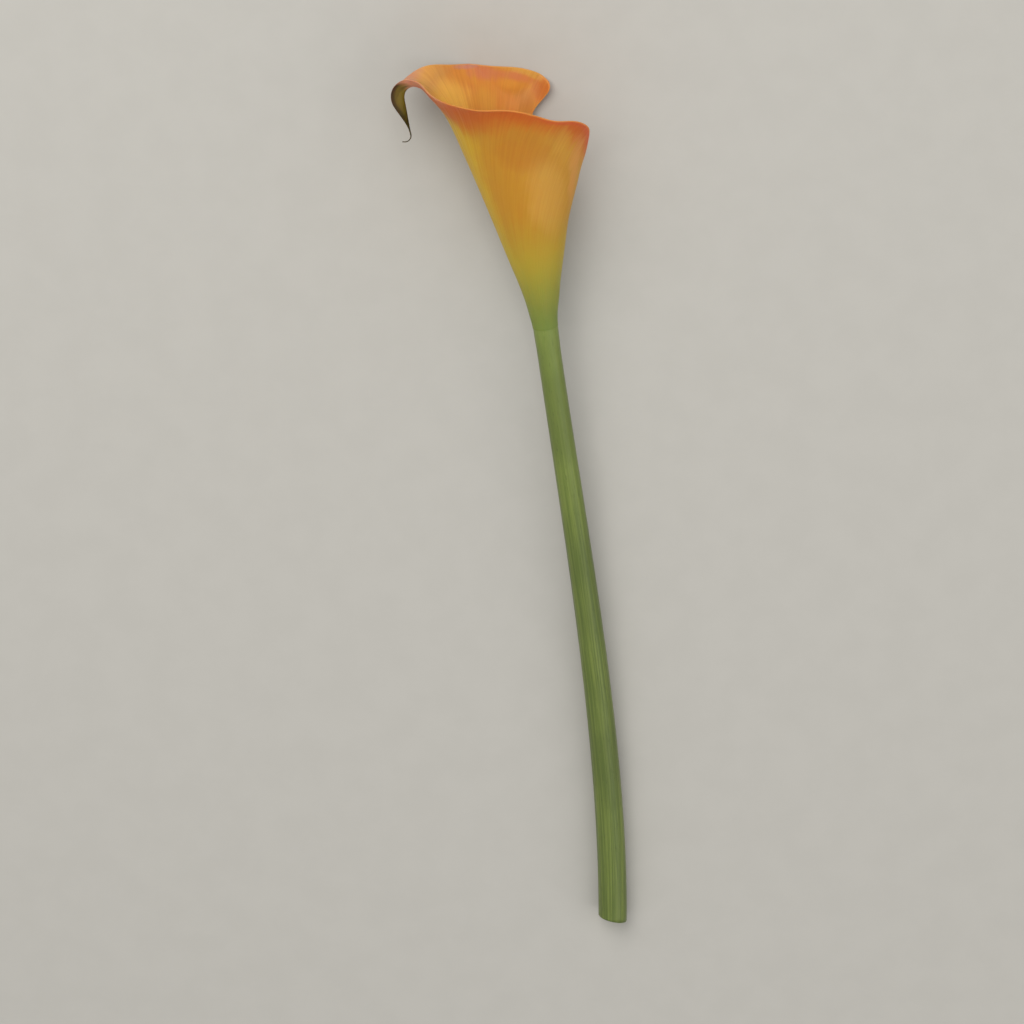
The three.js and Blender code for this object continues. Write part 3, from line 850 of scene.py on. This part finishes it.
def stem_line(part):
    """Points and directions on the cubic (1-t)^3 a + 3 (1-t)^2 t b + 3 (1-t) t^2 c + t^3 d."""
    axis = -UPRIGHT_TO_LYING[:, 2]
    a = HEAD
    d = np.array([HEAD[0] + STEM_DRIFT, HEAD[1] - STEM_LENGTH, STEM_CUT])
    b, c = a + axis * STEM_BEND[0], d + [0, STEM_BEND[1], 0]
    t = part[:, None]
    point = (1 - t) ** 3 * a + 3 * (1 - t) ** 2 * t * b + 3 * (1 - t) * t**2 * c + t**3 * d
    way = (1 - t) ** 2 * (b - a) + 2 * (1 - t) * t * (c - b) + t**2 * (d - c)
    return point, unit(way)


def stem_radius(part):
    """From the top's radius in to the neck over a short way, and out to the cut's over the rest."""
    neck = STEM_NECK + (STEM_TOP - STEM_NECK) * (1 - ramp(NECK_PART, part))
    return neck + (STEM_CUT - STEM_NECK) * ramp(SPREAD_PART, part)


# %% The stem's material
HEAD_GREEN_ENDS = (0, 120)                  # lengths from the head
SKIN_ENDS, CUT_RIM, CUT_ROUGH = (0.001, 0.01), (0.02, 0.16), (0.001, 0.05)   # shares of the way into the cut


def stem_finish():
    """Olive green with long streaks, yellower under the head, and the pale flesh of the cut."""
    r = Recipe("stem_finish", Subsurface_Weight=0.12, Subsurface_Scale=0.001, IOR=1.42)
    r.shader.inputs["Subsurface Radius"].default_value = (0.6, 1.0, 0.2)
    grain, length, cut = r.fact("grain", "Vector"), r.fact("length"), r.fact("cut")
    streaks = r.noise(r.stretched(grain, (1.1, 1.1, 0.02)), 1.0, 4.0, 0.6)
    flecks = r.noise(r.stretched(grain, (1.6, 1.6, 0.22)), 1.0, 3.0, 0.6)
    clouds = r.noise(r.place(), 22.0, 2.0)
    colour = r.mix(r.step(length, *HEAD_GREEN_ENDS), paint("#75833a"), paint("#5a682c"))
    colour = r.mix(r.step(streaks, 0.38, 0.66, 0.0, 0.55), colour, paint("#808b42"))
    colour = r.mix(r.step(clouds, 0.4, 0.7, 0.0, 0.4), colour, paint("#4a5626"))
    colour = r.mix(r.step(flecks, 0.58, 0.72, 0.0, 0.35), colour, paint("#3f4a20"))
    across = r.stretched(grain, (1.0, 1.0, 0.0))
    sap = r.add("ShaderNodeTexVoronoi", {"Vector": across, "Scale": 0.85}).outputs[0]
    flesh = r.mix(r.step(sap, 0.12, 0.3), paint("#8d9a52"), paint("#c9cf9b"))
    flesh = r.mix(r.step(r.noise(grain, 3.0), 0.4, 0.7, 0.0, 0.5), flesh, paint("#b5b884"))
    flesh = r.mix(r.step(cut, *CUT_RIM, 1.0, 0.0), flesh, paint("#6b7a36"))
    colour = r.mix(r.step(cut, *SKIN_ENDS), colour, flesh)
    relief = r.bump(streaks, 0.0002, 0.5)
    relief = r.bump(r.noise(grain, 2.2, 4.0), 0.00018, r.step(cut, *CUT_ROUGH, 0.05, 0.8), relief)
    rough = r.step(flecks, 0.3, 0.7, 0.34, 0.48)
    return r.finish(Base_Color=colour, Roughness=rough, Normal=relief)


# %% Building the stem
def stem_rows():
    """Middles, directions, radii and cut shares of all rings: the peg inside the spathe's foot, which
    rounds off upwards, then the line, then the cut's face, whose rings shrink to its middle."""
    part = np.linspace(0, 1, STEM_ROWS)
    point, way = stem_line(part)
    in_peg = 1 - np.linspace(0, 1, PEG_ROWS, endpoint=False)
    peg_radius = STEM_TOP * np.sqrt(1 - PEG_ROUND * in_peg**4) * (1 - PEG_DRAWN * in_peg)
    axis = UPRIGHT_TO_LYING[:, 2]
    shrink = np.linspace(1, 0, CUT_RINGS, endpoint=False)[1:]
    face = (len(shrink), 1)
    point = np.concatenate([HEAD + axis * (STEM_PEG * in_peg)[:, None], point, np.tile(point[-1], face)])
    way = np.concatenate([np.tile(-axis, (PEG_ROWS, 1)), way, np.tile(way[-1], face)])
    radius = np.concatenate([peg_radius, stem_radius(part), stem_radius(part[-1:]) * shrink])
    cut = np.concatenate([np.zeros(PEG_ROWS + STEM_ROWS), 1 - shrink])
    return point, way, radius, cut


def build_stem():
    """Rings square to the line: point - r (sin p side + cos p up). The cut's rings lie r slant sin p
    further along it."""
    point, way, radius, cut = stem_rows()
    side = unit(np.cross(way, [0, 0, 1.0]))
    up = np.cross(side, way)
    turn = 2 * np.pi * np.arange(STEM_COLUMNS) / STEM_COLUMNS
    flutes = 1 + sum(share * (np.cos(count * turn + start) - 1) for share, count, start in STEM_FLUTES)
    slant = np.where(np.arange(len(point)) >= PEG_ROWS + STEM_ROWS - 1, CUT_SLANT, 0.0)
    r = radius[:, None] * flutes
    rings = point[:, None] - side[:, None] * (r * np.sin(turn))[..., None]
    rings = rings - up[:, None] * (r * np.cos(turn))[..., None]
    rings = rings + way[:, None] * (r * slant[:, None] * np.sin(turn))[..., None]
    rings[..., 2] = np.maximum(rings[..., 2], 0)
    points = np.concatenate([rings.reshape(-1, 3), [point[0], point[-1]]])
    faces = closed_tube(len(point), STEM_COLUMNS)

    def everywhere(values):
        return np.concatenate([np.repeat(values, STEM_COLUMNS), values[[0, -1]]])

    run = np.concatenate([[0], np.cumsum(np.linalg.norm(np.diff(point, axis=0), axis=1))])
    width = np.stack([(r * np.cos(turn)).ravel(), (r * np.sin(turn)).ravel()], -1)
    length = everywhere(run - STEM_PEG)
    grain = np.column_stack([np.concatenate([width, np.zeros((2, 2))]), length])
    facts = {"length": length, "cut": everywhere(cut), "grain": grain}
    return piece("stem_stalk", "stem", points, faces, facts, stem_finish())


build_stem()

# %% [markdown]
# ## The surface, the light and the camera
#
# The flower lies on a plain pale surface. Two large soft lamps and a grey sky light it evenly from above
# and from the mouth's side, so that the light falls into the funnel. In the photograph the flower stands,
# and the camera sees it from 18 degrees above the rim. This one lies down, so the same view of it is from
# above, a little from the mouth's side, with a long lens. The picture is shown with the plain Standard view,
# because Blender's filmic one pales strong oranges, and the petals have little else.

# %% Surface and lamps
def surface_finish():
    """Pale grey and matt, with clouds so faint that they hardly show."""
    r = Recipe("surface_finish", Roughness=0.7)
    grain = r.noise(r.place(), 60.0, 3.0)
    return r.finish(Base_Color=r.mix(r.step(grain, 0.3, 0.7), paint("#b4b0a7"), paint("#b6b2a9")))


def flat_square(half, height):
    """The corners and the one face of a level square."""
    corners = [(-half, -half, height), (half, -half, height), (half, half, height), (-half, half, height)]
    return corners, [(0, 1, 2, 3)]


SURFACE_HALF, SURFACE_SUNK = 4.0, 0.0001    # sunk, so that it never cuts into the flower's flat spot
corners, faces = flat_square(SURFACE_HALF, -SURFACE_SUNK)
ground = bpy.data.meshes.new("surface")
ground.from_pydata(corners, [], faces)
ground.materials.append(surface_finish())
surface = bpy.data.objects.new("surface", ground)
bpy.context.scene.collection.objects.link(surface)


def lamp(name, power, size, place, target):
    """A square area lamp, its power in watts and its size in metres, that faces its target."""
    light = bpy.data.lights.new(name, "AREA")
    light.energy, light.size = power, size
    thing = bpy.data.objects.new(name, light)
    thing.location = place
    thing.rotation_euler = (Vector(target) - Vector(place)).to_track_quat("-Z", "Y").to_euler()
    bpy.context.scene.collection.objects.link(thing)
    return thing


lamp("key", 26, 1.4, (-0.5, 1.1, 1.5), (0, 0.05, 0))
lamp("fill", 9, 1.8, (1.2, -0.3, 1.3), (0, 0, 0))
SKY, SKY_STRENGTH = (0.9, 0.92, 0.95, 1), 0.55
world = bpy.data.worlds.new("studio")
bpy.context.scene.world = world
world.use_nodes = True
background = world.node_tree.nodes["Background"]
background.inputs["Color"].default_value = SKY
background.inputs["Strength"].default_value = SKY_STRENGTH

# %% Camera
VIEW_HEIGHT = math.radians(76)              # of the camera's direction seen from the middle of the mouth
DISTANCE, LENS, SENSOR = 2.6, 212, 36       # in metres, millimetres and millimetres
mouth_middle, target = Vector((0, 0.165, 0.035)), Vector((0, -0.001, 0.02))
camera_data = bpy.data.cameras.new("camera")
camera_data.lens, camera_data.sensor_width = LENS, SENSOR
camera = bpy.data.objects.new("camera", camera_data)
place = mouth_middle + DISTANCE * Vector((0, math.cos(VIEW_HEIGHT), math.sin(VIEW_HEIGHT)))
right, back = Vector((1, 0, 0)), (place - target).normalized()
above = back.cross(right)
camera.matrix_world = Matrix((
    (right.x, above.x, back.x, place.x),
    (right.y, above.y, back.y, place.y),
    (right.z, above.z, back.z, place.z),
    (0, 0, 0, 1),
))
bpy.context.scene.collection.objects.link(camera)
bpy.context.scene.camera = camera
bpy.context.scene.view_settings.view_transform = "Standard"
print("the frame is", round(1000 * (place - target).length * SENSOR / LENS), "mm wide at the flower")
